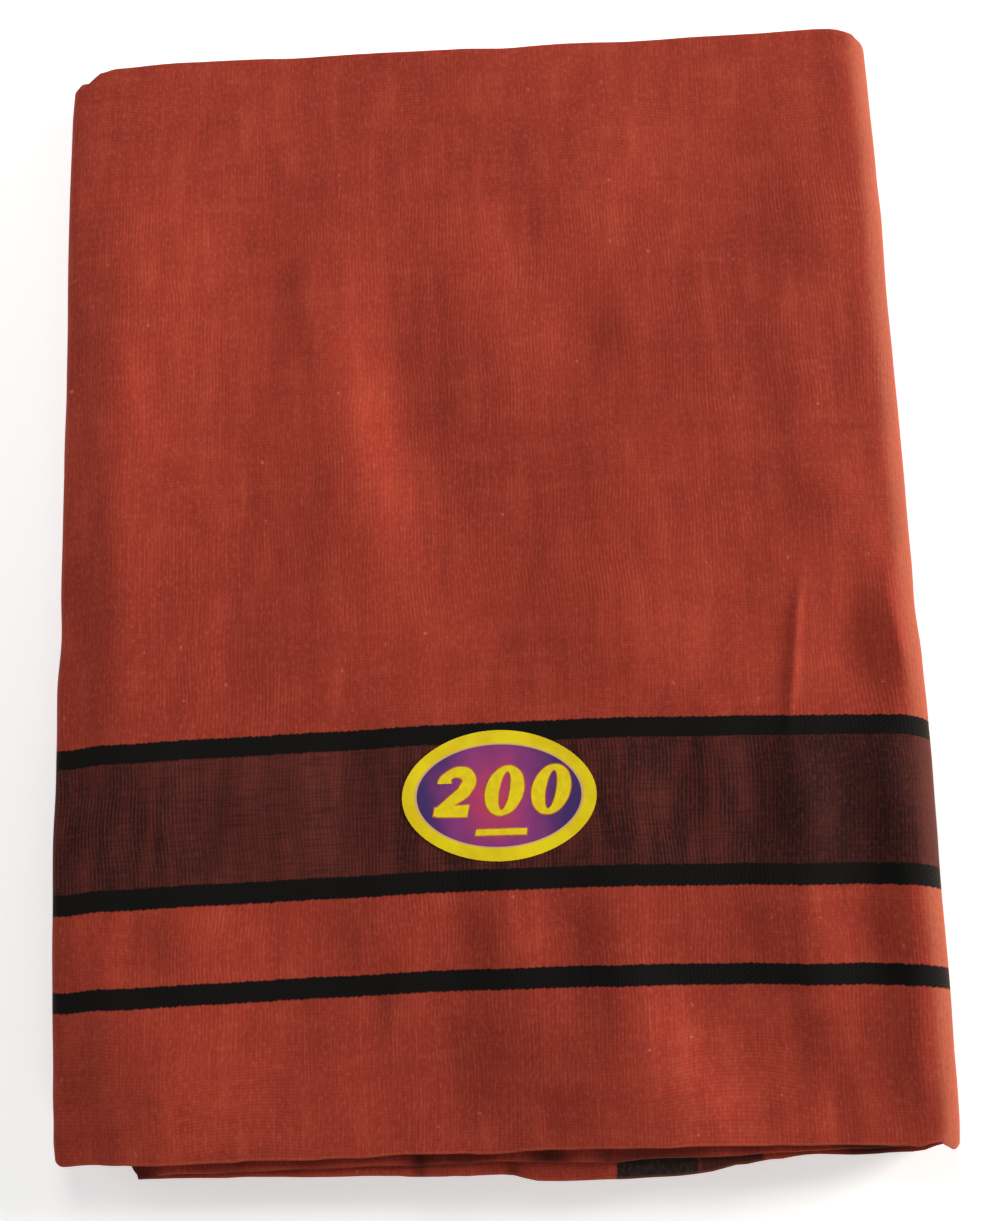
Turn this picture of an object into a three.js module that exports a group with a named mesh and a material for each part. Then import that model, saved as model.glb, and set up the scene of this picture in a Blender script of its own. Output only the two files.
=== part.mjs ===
// A lungi folded into a flat packet: one length of cotton, quartered across its width and then
// folded in eight along its length, lying on its underside with the woven border at the near edge.
// Millimetres. +X to the right, +Y away from the border edge, +Z up, underside on z = 0.
import * as THREE from 'three';

// ---- the cloth
const CUT_LENGTH = 2000;        // along the border
const CUT_WIDTH = 1300;         // selvedge to selvedge
const FOLDS_LENGTH = 8;         // strips that lie on each other
const FOLDS_WIDTH = 4;          // plies in each strip

// ---- the packet
const WIDE = CUT_LENGTH / FOLDS_LENGTH + 2;        // across the strips, with their round folds
const TALL = CUT_WIDTH / FOLDS_WIDTH + 7;          // border edge to far fold
const WALL = 1.6;               // one strip, its plies pressed flat
const GAP = 0.3;                // between two strips
const LEVEL = WALL + GAP;       // pitch of the strips
const TOP_LEVEL = FOLDS_LENGTH - 1;
const PILE = TOP_LEVEL * LEVEL + WALL;             // height of the pressed pile
const TUCK_LEVEL = 4;           // level that the left fold comes back in at
const TUCK = 14;                // how far it comes back in
const UNDER_LEFT = -123.6;      // free end of the underside
const SOFT_FROM = 5 * LEVEL - 0.1;                 // the top's relief dies out down to this height
const SOFT_TO = TOP_LEVEL * LEVEL;

// ---- the label
const LABEL = { x: 3.2, y: -64.6, wide: 55, tall: 37, thick: 0.4 };

// ---- outline, a row for each section across the packet: where its left and right edges lie
const OUTLINE = [
  { y: -172, left: -124.4, right: 125.4 },
  { y: -160, left: -125.2, right: 126.0 },
  { y: -142, left: -126.1, right: 126.3 },
  { y: -118, left: -126.6, right: 126.7 },
  { y: -73, left: -127.3, right: 127.0 },
  { y: -45, left: -126.8, right: 127.1 },
  { y: -30, left: -127.0, right: 126.7 },
  { y: 0, left: -126.5, right: 126.3 },
  { y: 40, left: -126.2, right: 126.1 },
  { y: 80, left: -125.7, right: 125.7 },
  { y: 120, left: -125.8, right: 125.5 },
  { y: 148, left: -125.6, right: 125.1 },
  { y: 172, left: -124.6, right: 124.8 },
];

// ---- near and far ends of each strip, a row for each place along X
const TOP_ENDS = [
  { x: -127, near: -158.6, far: 159.6 },
  { x: -124, near: -161.4, far: 162.4 },
  { x: -119, near: -162.0, far: 166.6 },
  { x: -90, near: -161.9, far: 169.3 },
  { x: -45, near: -161.7, far: 169.3 },
  { x: -16, near: -161.2, far: 169.0 },
  { x: 20, near: -160.4, far: 168.0 },
  { x: 60, near: -160.3, far: 167.7 },
  { x: 90, near: -160.6, far: 168.0 },
  { x: 117, near: -160.6, far: 167.4 },
  { x: 123, near: -160.4, far: 165.4 },
  { x: 127, near: -157.4, far: 161.0 },
];
const UNDER_ENDS = [
  { x: -127, near: -160.4, far: 163.6 },
  { x: -120, near: -162.8, far: 167.6 },
  { x: -40, near: -163.4, far: 168.6 },
  { x: 50, near: -163.0, far: 167.8 },
  { x: 118, near: -162.4, far: 167.6 },
  { x: 127, near: -157.4, far: 161.0 },
];
const UPPER_LEAF_ENDS = [
  { x: -103, near: -162.6, far: 166.0 },
  { x: -95, near: -165.3, far: 167.0 },
  { x: -80, near: -164.6, far: 167.6 },
  { x: -20, near: -164.5, far: 167.2 },
  { x: 25, near: -164.0, far: 166.4 },
  { x: 78, near: -163.2, far: 166.8 },
  { x: 119, near: -161.4, far: 165.4 },
];
const LOWER_LEAF_ENDS = [
  { x: -103, near: -162.6, far: 166.0 },
  { x: -98, near: -166.6, far: 167.4 },
  { x: -70, near: -167.2, far: 168.0 },
  { x: -12, near: -167.7, far: 168.2 },
  { x: 5, near: -167.6, far: 168.0 },
  { x: 10, near: -169.2, far: 167.8 },
  { x: 47, near: -168.9, far: 167.6 },
  { x: 65, near: -166.3, far: 167.2 },
  { x: 80, near: -163.9, far: 166.8 },
  { x: 119, near: -163.2, far: 165.6 },
];

// ---- hidden strips, a row for each level of the pile: how far its edges reach
const HIDDEN = [
  { level: 1, left: -122.6, near: -162.8, far: 168.4 },
  { level: 2, left: -125.4, near: -161.6, far: 167.2 },
  { level: 3, left: -124.8, near: -163.6, far: 168.8 },
  { level: 4, left: -107.8, near: -162.0, far: 167.6 },
];

// ---- largest folds and hollows of the top, a row for each: middle, reach along and across, turn
// in degrees of its length from +Y towards +X, and depth (a hollow is below zero)
const CREASES = [
  { x: -113, y: -20, along: 150, across: 5.5, turn: 0, depth: -0.9 },     // hollow beside the left fold
  { x: -57, y: 88, along: 34, across: 11, turn: 0, depth: -0.6 },
  { x: -86, y: 90, along: 60, across: 15, turn: 0, depth: 0.45 },
  { x: -29, y: 56, along: 55, across: 14, turn: 2, depth: 0.7 },
  { x: -47, y: 6, along: 22, across: 12, turn: -20, depth: -0.4 },
  { x: 24, y: 6, along: 60, across: 18, turn: 26, depth: -0.7 },
  { x: 94, y: 112, along: 40, across: 14, turn: -8, depth: -0.5 },
  { x: 88, y: -22, along: 24, across: 10, turn: 6, depth: -0.5 },
  { x: 108, y: -30, along: 28, across: 9, turn: 0, depth: -0.3 },
  { x: 53, y: -139, along: 24, across: 11, turn: 32, depth: 0.5 },
  { x: -3, y: -146, along: 18, across: 14, turn: 0, depth: -0.5 },
];

// ---- how finely each piece is cut
const SPAN_STEPS = 21;          // across the top panel
const DEEP_STEPS = 14;          // along Y
const UNDER_STEPS = 9;          // across the underside
const RIGHT_STEPS = 8;          // round the right fold
const LEFT_STEPS = 6;           // round a left fold
const END_STEPS = 3;            // round the end of a wall

// Value of one column of a table at a place, eased between its rows.
function along(rows, place, column, at) {
  if (at <= rows[0][place]) return rows[0][column];
  for (let i = 1; i < rows.length; i++) {
    const a = rows[i - 1], b = rows[i];
    if (at <= b[place]) {
      const t = (at - a[place]) / (b[place] - a[place]);
      return a[column] + (b[column] - a[column]) * t * t * (3 - 2 * t);
    }
  }
  return rows[rows.length - 1][column];
}

// Height that the folds and hollows add to the top at x, y.
function relief(x, y) {
  let sum = 0;
  for (const c of CREASES) {
    const a = THREE.MathUtils.degToRad(c.turn);
    const dx = x - c.x, dy = y - c.y;
    const u = (dx * Math.sin(a) + dy * Math.cos(a)) / c.along;
    const v = (dx * Math.cos(a) - dy * Math.sin(a)) / c.across;
    sum += c.depth * Math.exp(-u * u - v * v);
  }
  return sum;
}

// The pressed pile's straight frame bent to the cloth's own outline and relief.
function settle(x, y, z) {
  const side = x < 0 ? along(OUTLINE, 'y', 'left', y) + WIDE / 2 : along(OUTLINE, 'y', 'right', y) - WIDE / 2;
  const lift = THREE.MathUtils.clamp((z - SOFT_FROM) / (SOFT_TO - SOFT_FROM), 0, 1);
  return [x + side * Math.pow(Math.abs(x) / (WIDE / 2), 3), y, z + relief(x, y) * lift];
}

// A closed body from rings of equal count, the first and last ring capped: from the middle, or for
// a wall's section from side to side.
function skin(rings, wall = false) {
  const n = rings[0].length, position = [], index = [];
  for (const ring of rings) for (const p of ring) position.push(...p);
  for (let k = 0; k + 1 < rings.length; k++)
    for (let i = 0; i < n; i++) {
      const j = (i + 1) % n, a = k * n + i, b = k * n + j, c = a + n, d = b + n;
      index.push(a, b, d, a, d, c);
    }
  for (const [k, flip] of [[0, true], [rings.length - 1, false]]) {
    if (wall) {
      const outer = (i) => k * n + END_STEPS + i, inner = (i) => k * n + (2 * n - i) % n;
      for (let i = 1 - Math.ceil(END_STEPS / 2); i < n / 2 - 2; i++) {
        const a = outer(i), b = outer(i + 1), c = inner(i + 1), d = inner(i);
        index.push(...(flip ? [c, b, a, d, c, a] : [a, b, c, a, c, d]));
      }
      continue;
    }
    const middle = position.length / 3, sum = [0, 0, 0];
    for (const p of rings[k]) for (let m = 0; m < 3; m++) sum[m] += p[m] / n;
    position.push(...sum);
    for (let i = 0; i < n; i++) {
      const a = k * n + i, b = k * n + (i + 1) % n;
      index.push(...(flip ? [middle, b, a] : [middle, a, b]));
    }
  }
  const g = new THREE.BufferGeometry();
  g.setAttribute('position', new THREE.Float32BufferAttribute(position, 3));
  g.setIndex(index);
  g.computeVertexNormals();
  return g;
}

// Wall of one strip: stations along its path in X and Z carry a section in Y whose ends are round.
function strip(stations, deepSteps) {
  const r = WALL / 2;
  const rings = stations.map((s) => {
    const ring = [];
    const put = (y, off) => ring.push(settle(s.x + s.nx * off, y, s.z + s.nz * off));
    for (let i = 0; i <= END_STEPS; i++) {         // near end, from the inner face to the outer
      const a = Math.PI * (i / END_STEPS) - Math.PI / 2;
      put(s.near + r - r * Math.cos(a), r * Math.sin(a));
    }
    for (let i = 1; i < deepSteps; i++) put(THREE.MathUtils.lerp(s.near + r, s.far - r, i / deepSteps), r);
    for (let i = 0; i <= END_STEPS; i++) {         // far end, from the outer face to the inner
      const a = Math.PI / 2 - Math.PI * (i / END_STEPS);
      put(s.far - r + r * Math.cos(a), r * Math.sin(a));
    }
    for (let i = 1; i < deepSteps; i++) put(THREE.MathUtils.lerp(s.far - r, s.near + r, i / deepSteps), -r);
    return ring;
  });
  return skin(rings, true);
}

const middleOf = (level) => level * LEVEL + WALL / 2;
const ends = (rows, x) => ({ near: along(rows, 'x', 'near', x), far: along(rows, 'x', 'far', x) });

// The right fold's and the left fold's own middle lines, and the places across the top panel.
const RIGHT_R = (middleOf(TOP_LEVEL) - middleOf(0)) / 2, RIGHT_X = WIDE / 2 - WALL / 2 - RIGHT_R;
const LEFT_R = (middleOf(TOP_LEVEL) - middleOf(TUCK_LEVEL)) / 2, LEFT_X = LEFT_R + WALL / 2 - WIDE / 2;
function panelPlaces() {
  return Array.from({ length: SPAN_STEPS + 1 }, (_, i) => THREE.MathUtils.lerp(LEFT_X, RIGHT_X, i / SPAN_STEPS));
}

// ---- outer wrap: underside panel, right fold, top panel, left fold, tuck
function outerWrapStations() {
  const list = [];
  const low = middleOf(0), high = middleOf(TOP_LEVEL), tuck = middleOf(TUCK_LEVEL);
  for (let i = 0; i <= UNDER_STEPS; i++) {
    const x = THREE.MathUtils.lerp(UNDER_LEFT, RIGHT_X, i / UNDER_STEPS);
    list.push({ x, z: low, nx: 0, nz: -1, ...ends(UNDER_ENDS, x) });
  }
  for (let i = 1; i < RIGHT_STEPS; i++) {
    const t = i / RIGHT_STEPS, a = Math.PI * (t - 0.5);
    const x = RIGHT_X + RIGHT_R * Math.cos(a);
    const u = ends(UNDER_ENDS, x), v = ends(TOP_ENDS, x);
    list.push({ x, z: low + RIGHT_R + RIGHT_R * Math.sin(a), nx: Math.cos(a), nz: Math.sin(a),
      near: THREE.MathUtils.lerp(u.near, v.near, t), far: THREE.MathUtils.lerp(u.far, v.far, t) });
  }
  for (const x of panelPlaces().reverse()) list.push({ x, z: high, nx: 0, nz: 1, ...ends(TOP_ENDS, x) });
  for (let i = 1; i < LEFT_STEPS; i++) {
    const a = Math.PI * (0.5 + i / LEFT_STEPS);
    const x = LEFT_X + LEFT_R * Math.cos(a);
    list.push({ x, z: tuck + LEFT_R + LEFT_R * Math.sin(a), nx: Math.cos(a), nz: Math.sin(a), ...ends(TOP_ENDS, x) });
  }
  for (const x of [LEFT_X, LEFT_X + TUCK]) list.push({ x, z: tuck, nx: 0, nz: -1, ...ends(TOP_ENDS, x) });
  return list;
}

// ---- inner strip: lower leaf, rolled left fold, upper leaf
const INNER_LEFT = -103;
function roundsOff(z) {                 // how far right a strip may reach inside the outer wrap's fold
  const mid = PILE / 2, r = PILE / 2 - WALL - GAP * 1.6;
  const dz = Math.min(Math.abs(z - mid), r);
  return WIDE / 2 - WALL - GAP * 1.6 - r + Math.sqrt(r * r - dz * dz);
}
function innerStripStations() {
  const list = [];
  const low = middleOf(5), high = middleOf(6), r = (high - low) / 2;
  const x0 = INNER_LEFT + WALL / 2 + r;
  const places = (right) => [x0, ...panelPlaces().filter((x) => x > x0 + 3 && x < right - 3), right];
  for (const x of places(roundsOff(low + WALL / 2)).reverse())
    list.push({ x, z: low, nx: 0, nz: -1, ...ends(LOWER_LEAF_ENDS, x) });
  for (let i = 1; i < LEFT_STEPS; i++) {
    const t = i / LEFT_STEPS, a = -Math.PI * (0.5 + t);
    const x = x0 + r * Math.cos(a);
    const u = ends(LOWER_LEAF_ENDS, x), v = ends(UPPER_LEAF_ENDS, x);
    list.push({ x, z: low + r + r * Math.sin(a), nx: Math.cos(a), nz: Math.sin(a),
      near: THREE.MathUtils.lerp(u.near, v.near, t), far: THREE.MathUtils.lerp(u.far, v.far, t) });
  }
  for (const x of places(roundsOff(high + WALL / 2)))
    list.push({ x, z: high, nx: 0, nz: 1, ...ends(UPPER_LEAF_ENDS, x) });
  return list.reverse();
}

// ---- inner folds: the hidden strips as one body, with a round edge and a groove for each level
function innerFoldRings() {
  const rings = [], corner = 5, cornerSteps = 3, sideSteps = 10, groove = 0.55, first = HIDDEN[0].level;
  for (const h of HIDDEN) {
    const bottom = h.level * LEVEL - (h.level > first ? GAP / 2 : 0);
    const top = (h.level + 1) * LEVEL - (h.level < TUCK_LEVEL ? GAP / 2 : GAP);
    for (const [share, inset] of [[0, groove], [0.3, 0], [0.7, 0], [1, groove]]) {
      const z = THREE.MathUtils.lerp(bottom, top, share);
      const x0 = h.left + inset, x1 = roundsOff(z) - inset * 0.5;
      const y0 = h.near + inset, y1 = h.far - inset;
      const ring = [];
      const turn = (cx, cy, from) => {
        for (let i = 0; i <= cornerSteps; i++) {
          const a = from + Math.PI / 2 * i / cornerSteps;
          ring.push([cx + corner * Math.cos(a), cy + corner * Math.sin(a)]);
        }
      };
      const run = (ax, ay, bx, by) => {
        for (let i = 1; i < sideSteps; i++) {
          const t = i / sideSteps;
          ring.push([ax + (bx - ax) * t, ay + (by - ay) * t]);
        }
      };
      turn(x0 + corner, y0 + corner, Math.PI);
      run(x0 + corner, y0, x1 - corner, y0);
      turn(x1 - corner, y0 + corner, -Math.PI / 2);
      run(x1, y0 + corner, x1, y1 - corner);
      turn(x1 - corner, y1 - corner, 0);
      run(x1 - corner, y1, x0 + corner, y1);
      turn(x0 + corner, y1 - corner, Math.PI / 2);
      run(x0, y1 - corner, x0, y0 + corner);
      rings.push(ring.map(([x, y]) => settle(x, y, z)));
    }
  }
  return rings;
}

// ---- label: an oval whose points are the top panel's own, moved out
function labelGeometry() {
  const sectors = 32, shares = [0.34, 0.68, 1];
  const face = PILE + GAP;
  const ring = (share, lift) => Array.from({ length: sectors }, (_, i) => {
    const a = 2 * Math.PI * i / sectors;
    const [x, y, z] = settle(LABEL.x + LABEL.wide / 2 * share * Math.cos(a), LABEL.y + LABEL.tall / 2 * share * Math.sin(a), face);
    return [x, y, z + lift];
  });
  return skin([...shares.map((s) => ring(s, 0)), ...shares.slice().reverse().map((s) => ring(s, LABEL.thick))]);
}

const packet = new THREE.Group();
function add(name, geometry, color, roughness) {
  const mesh = new THREE.Mesh(geometry, new THREE.MeshStandardMaterial({ color, roughness, metalness: 0 }));
  mesh.name = name;
  packet.add(mesh);
}
add('outer_wrap', strip(outerWrapStations(), DEEP_STEPS), 0xa53c2d, 0.9);
add('inner_strip', strip(innerStripStations(), DEEP_STEPS - 3), 0x93341f, 0.9);
add('inner_folds', skin(innerFoldRings()), 0x842d22, 0.92);
add('size_label', labelGeometry(), 0xe1cd0f, 0.45);

// The packet's own middle goes over the origin.
const middle = new THREE.Box3().setFromObject(packet, true).getCenter(new THREE.Vector3());
packet.position.set(-middle.x, -middle.y, 0);

export default packet;
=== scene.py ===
# Looks of a folded cotton lungi, built round its frame: the outer wrap and the inner folds as
# one long strip of cloth that is folded the way the real one is, and the oval size label on it.
# Everything is worked out in millimetres and written in metres.
import math
import bpy
import numpy as np
from mathutils import Matrix


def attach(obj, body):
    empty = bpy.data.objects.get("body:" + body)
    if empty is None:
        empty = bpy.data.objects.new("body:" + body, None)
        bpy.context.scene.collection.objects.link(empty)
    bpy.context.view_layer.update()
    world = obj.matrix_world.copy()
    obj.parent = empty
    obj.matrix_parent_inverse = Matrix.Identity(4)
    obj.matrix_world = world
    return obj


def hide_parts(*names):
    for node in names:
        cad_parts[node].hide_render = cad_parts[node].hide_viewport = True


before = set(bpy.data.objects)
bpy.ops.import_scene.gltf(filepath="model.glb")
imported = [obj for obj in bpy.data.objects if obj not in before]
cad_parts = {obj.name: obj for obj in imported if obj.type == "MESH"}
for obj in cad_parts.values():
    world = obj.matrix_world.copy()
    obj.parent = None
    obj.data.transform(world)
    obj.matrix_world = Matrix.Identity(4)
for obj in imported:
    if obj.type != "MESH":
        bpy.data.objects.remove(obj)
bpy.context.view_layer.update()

MM = 0.001

# ---------------------------------------------------------------- sizes, mm
WIDE = 252.0                  # across the packet, at its round folds
PITCH = 1.9                   # from strip to strip in the pile
WALL = 1.72                   # one strip: four plies of cotton
HALF = WALL / 2
TOP, TUCK = 7, 4              # levels of the top panel and of the left fold's lower leaf
CENTRE_X, CENTRE_Y = 0.085, -0.055
SWELL = 1.25                  # strength of the pile's slopes
LABEL = dict(x=3.2, y=-64.6, wide=55.0, tall=36.6, thick=0.14, lift=0.10)


def mid(level):
    return level * PITCH + HALF


RIGHT_X = WIDE / 2 - HALF - (mid(TOP) - mid(0)) / 2      # centre line of all the right folds
LEFT_R = (mid(TOP) - mid(TUCK)) / 2
LEFT_X = LEFT_R + HALF - WIDE / 2


# ---------------------------------------------------------------- tables, mm
def table(names, rows):
    a = np.array(rows, float)
    return {n: a[:, i] for i, n in enumerate(names.split())}


def eased(t, at, column, x):
    """A column of a table at x, eased between its rows."""
    p, v = t[at], t[column]
    x = np.clip(x, p[0], p[-1])
    i = np.clip(np.searchsorted(p, x, side="right") - 1, 0, len(p) - 2)
    s = (x - p[i]) / (p[i + 1] - p[i])
    s = s * s * (3 - 2 * s)
    return v[i] + (v[i + 1] - v[i]) * s


OUTLINE = table("y left right", [
    (-172, -123.6, 125.2), (-163, -124.3, 125.7), (-155, -125.2, 126.1), (-142, -125.8, 126.3),
    (-118, -126.2, 126.7), (-98, -126.4, 126.6), (-73, -127.0, 127.0), (-58, -126.7, 127.2), (-45, -126.8, 127.1),
    (-30, -127.1, 126.7), (-14, -126.2, 125.9), (0, -126.6, 126.4), (20, -126.4, 126.2),
    (40, -126.2, 126.1), (62, -125.7, 125.9), (80, -125.6, 125.7), (105, -125.8, 126.0),
    (120, -125.8, 125.5), (148, -125.6, 125.1), (172, -124.6, 124.8)])
TOP_ENDS = table("x near far", [
    (-127, -159.2, 158.0), (-124.8, -162.0, 160.2), (-122.6, -162.4, 161.2), (-120.4, -162.3, 161.6),
    (-117.0, -161.9, 165.2), (-111, -161.5, 166.4), (-90, -161.6, 167.4), (-68, -161.3, 167.6),
    (-52, -161.4, 167.2), (-36, -161.2, 167.3), (-24, -160.6, 167.3), (-12, -160.5, 167.0), (-2, -160.8, 166.8),
    (12, -159.7, 166.1), (30, -159.4, 166.5), (52, -159.5, 166.0), (72, -160.0, 166.4), (92, -160.3, 166.2),
    (108, -160.6, 166.6), (113, -161.0, 166.4), (116.0, -160.0, 166.0), (118.4, -159.8, 165.4),
    (120.6, -161.4, 164.8), (122.6, -162.7, 163.4), (124.8, -162.0, 162.2), (127, -160.0, 160.2)])
UNDER_ENDS = table("x near far", [
    (-127, -161.0, 164.0), (-120, -163.4, 167.8), (-85, -162.6, 168.4), (-40, -163.6, 168.6),
    (10, -163.0, 168.0), (50, -163.2, 167.6), (90, -162.2, 168.2), (118, -162.2, 167.4),
    (123.5, -162.4, 165.4), (127, -161.2, 161.6)])
# ends of the inner strips, a table for each level
LEVEL_ENDS = {
    6: table("x near far", [
        (-103, -161.2, 166.0), (-98.5, -161.4, 166.6), (-95.5, -165.2, 167.0), (-80, -164.9, 167.8),
        (-48, -164.6, 168.0), (-20, -164.6, 167.2), (5, -164.0, 167.4), (25, -164.1, 166.4),
        (52, -163.6, 167.0), (78, -163.0, 166.8), (100, -162.4, 166.2), (122, -160.6, 165.0)]),
    5: table("x near far", [
        (-103, -165.4, 166.0), (-101.8, -166.4, 166.6), (-99.5, -166.1, 167.2), (-70, -166.4, 168.0),
        (-40, -167.1, 167.6), (-12, -167.6, 168.2), (3, -167.4, 168.0), (11, -169.0, 167.8),
        (34, -168.8, 167.2), (47, -168.4, 167.6), (56, -167.8, 167.2), (66, -166.1, 167.4),
        (75, -164.5, 167.0), (84, -163.5, 166.8), (97, -163.8, 166.4), (113, -163.2, 166.0),
        (122, -161.6, 165.0)]),
    4: table("x near far", [
        (-127, -160.0, 162.0), (-108, -162.2, 166.8), (-60, -162.8, 167.6), (0, -163.4, 167.0),
        (60, -162.4, 168.0), (122, -161.8, 166.0)]),
    3: table("x near far", [
        (-127, -160.6, 163.0), (-116, -163.2, 167.2), (-60, -163.8, 168.6), (0, -164.4, 168.0),
        (60, -163.6, 168.8), (122, -162.2, 166.4)]),
    2: table("x near far", [
        (-127, -160.0, 163.4), (-116, -162.2, 167.0), (-60, -161.8, 167.4), (0, -162.6, 168.2),
        (60, -161.6, 167.0), (122, -161.4, 166.2)]),
    1: table("x near far", [
        (-127, -160.8, 164.0), (-114, -163.0, 168.0), (-60, -162.8, 168.6), (0, -163.8, 167.6),
        (60, -162.6, 168.4), (122, -161.6, 166.4)]),
}
# the border's second stripe on the top panel: how its middle line runs
STRIPE_RUN = table("x y", [
    (-127, -92.0), (-124, -91.8), (-109, -90.6), (-77, -89.7), (-42, -88.9), (-16, -88.1),
    (4, -87.9), (36, -87.7), (67, -88.3), (98, -89.0), (112, -89.4), (118.6, -89.8)])
STRIPE_V = 73.0               # its place on the cloth, from the selvedge
FOLD_SKEW = 5.2               # how far the stripes slip along the right fold, over half a turn

# soft troughs and ridges of the pressed pile, each as a slope: middle, reach along and across, turn
# of its length from +Y towards +X in degrees, and tilt, above zero where the cloth falls to the right
SLOPES = table("x y along across turn tilt", [
    (-30, 45, 36, 8.5, -9, 0.27), (-34, 96, 26, 9, 4, 0.06), (-56.5, 84, 17, 6, 3, -0.15),
    (-51, 8, 28, 14, -12, -0.12), (-66, 44, 30, 10, 0, -0.03), (-86, 98, 58, 19, 3, 0.11),
    (-104, 58, 42, 9, 2, 0.08), (-115, 6, 92, 8, 0, -0.20), (-113, -26, 34, 8, 0, -0.08),
    (-80, -16, 22, 5, 2, 0.11), (-69, -18, 18, 7, 2, -0.06), (-40, -18, 18, 9, 0, 0.07),
    (-9, 66, 30, 7, 1, -0.05), (8, 86, 32, 11, -4, 0.06), (21, 56, 24, 8, 8, 0.07),
    (40, 73, 15, 8.5, 6, -0.14), (27, 18, 38, 22, 14, -0.10), (14, -16, 24, 15, 22, -0.08),
    (58, -20, 18, 13, 6, 0.09), (76, -30, 14, 8, -4, 0.05), (60, 56, 28, 13, -6, -0.045),
    (46, 122, 32, 13, 4, 0.06), (21, 110, 9, 8, 0, -0.08), (92, 122, 30, 11, -4, -0.09),
    (114, 132, 24, 8, -3, -0.07), (90, 46, 30, 7, -3, -0.07), (101, 64, 26, 7, -4, 0.07),
    (112, 92, 22, 7, -4, 0.07), (111, 13, 10, 8.5, 36, 0.22), (112.4, -24, 16, 5.2, -4, -0.30),
    (97, -24, 18, 6, 9, 0.06), (110.5, -90, 50, 4.5, 0, -0.20), (110, -142, 22, 5.5, 2, -0.22), (-100, -2, 26, 7, 8, 0.05), (-60, 146, 20, 12, 0, 0.05),
    # across the border, where the heavy stripes gather the cloth
    (-47, -62, 17, 8, 3, 0.17), (-33, -66, 14, 7, 0, -0.10), (-64, -58, 14, 6, 0, 0.06),
    (-74, -70, 12, 5.5, 2, -0.06), (-86, -62, 15, 6, -3, 0.07), (-100, -66, 16, 7, 0, -0.09),
    (46, -66, 14, 6, 3, 0.12), (60, -62, 14, 6.5, 0, -0.08), (71, -58, 13, 5.5, 3, 0.08),
    (82, -68, 15, 7, -2, -0.16), (93, -70, 15, 6, 2, 0.15), (104, -66, 14, 5.5, -3, -0.10),
    (113, -60, 14, 5, 0, 0.09),
    (-110, -103, 12, 6, 0, 0.07), (-94, -103, 14, 7, 3, -0.13), (-72, -102, 12, 10, 0, 0.07),
    (-55, -104, 12, 8, -4, 0.06), (-38, -103, 11, 6, 3, -0.08), (-17, -101, 13, 8, 0, 0.09),
    (-3, -102, 14, 6.5, 4, -0.13), (12, -102, 12, 6, -2, 0.12), (28, -103, 15, 6, 4, -0.14),
    (44, -102, 13, 6, 0, 0.10), (61, -101, 13, 7, -3, 0.07), (74, -102, 14, 5.5, 3, -0.12),
    (84, -104, 11, 4, 0, -0.08), (94, -102, 14, 6.5, -2, 0.13), (112, -104, 13, 6.5, 2, -0.14),
    (-106, -130, 18, 5, 0, 0.08), (-97, -146, 18, 6.5, 0, -0.14), (-112, -140, 28, 9, 0, -0.30), (-68, -136, 22, 16, 2, 0.09),
    (-31, -122, 8, 3.6, 8, -0.13), (-38, -136, 18, 8, 6, 0.09), (-18, -132, 15, 9, 6, 0.07),
    (-3, -142, 18, 11, 4, -0.16), (17, -146, 16, 11, 0, -0.13), (31, -126, 13, 7, 14, -0.12),
    (52, -136, 26, 10, -28, 0.24), (69, -150, 12, 8, -18, 0.07), (86, -130, 16, 7, -16, -0.15),
    (84, -150, 9, 7, 0, 0.07), (101, -128, 13, 6.5, 0, -0.11), (110, -140, 11, 5.5, 4, 0.07),
    (118, -150, 9, 4.5, 0, -0.16), (98, -152, 9, 5.5, 6, -0.09)])
# small sharp creases of the top ply alone, as ridges
SHARP = table("x y along across turn high", [
    (91.0, -12, 8, 1.35, 10, 0.50), (88.6, -27, 12, 1.45, 8, 0.78), (86.6, -39, 8, 1.5, 10, 0.55), (94.6, -15, 13, 4.6, 10, 0.04), (92.2, -31, 14, 4.6, 8, 0.05), (80.6, 33, 15, 1.2, -1, -0.16),
    (109, 7.5, 9, 1.8, 56, 0.26), (117.4, -23, 12, 1.5, -3, 0.62), (120.4, 2, 10, 1.7, 24, 0.30), (119.8, -155, 5, 1.3, 42, 0.55), (-15.0, 66, 24, 2.2, 0, 0.18),
    (33.5, 78, 9, 1.8, 10, 0.12), (5.5, -20, 30, 2.4, 24, -0.14), (-66, 10, 26, 2.6, 14, 0.10),
    (-92, 60, 44, 2.2, 2, -0.10), (64, 80, 30, 2.4, -10, 0.10), (30, 140, 20, 2.4, 12, -0.10),
    (-40, 138, 24, 2.6, -8, 0.10), (58, -150, 12, 2.4, -30, 0.18), (-20, -150, 10, 2.0, 6, -0.20),
    (10, -152, 9, 1.8, -8, 0.18), (-44, -152, 9, 1.8, 10, -0.14), (92, -152, 9, 2.2, 10, -0.20),
    (-31, -119, 6, 1.3, 10, -0.24), (-8, -121, 6, 1.2, -6, -0.18), (30, -120, 6, 1.3, 12, -0.2),
    (41, -119, 6, 1.3, -8, 0.18), (80, -120, 6, 1.4, -10, -0.2), (12, -96, 5, 1.2, 0, 0.14),
    (-62, -97, 5, 1.3, 0, -0.14), (60, -96, 5, 1.2, 8, -0.16), (100, -120, 6, 1.3, 0, -0.16),
    (-90, -121, 6, 1.3, 6, -0.14)])
# soft hollows of the underside, like the top's
UNDER = table("x y along across turn high", [
    (-60, 40, 60, 12, -8, 0.42), (20, -30, 70, 14, 18, 0.5), (80, 60, 46, 10, -6, 0.4),
    (-20, 120, 34, 9, 10, 0.36), (60, -120, 30, 9, -24, 0.42), (-95, -90, 40, 8, 4, 0.36),
    (0, 40, 120, 5, 2, 0.2)])
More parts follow.
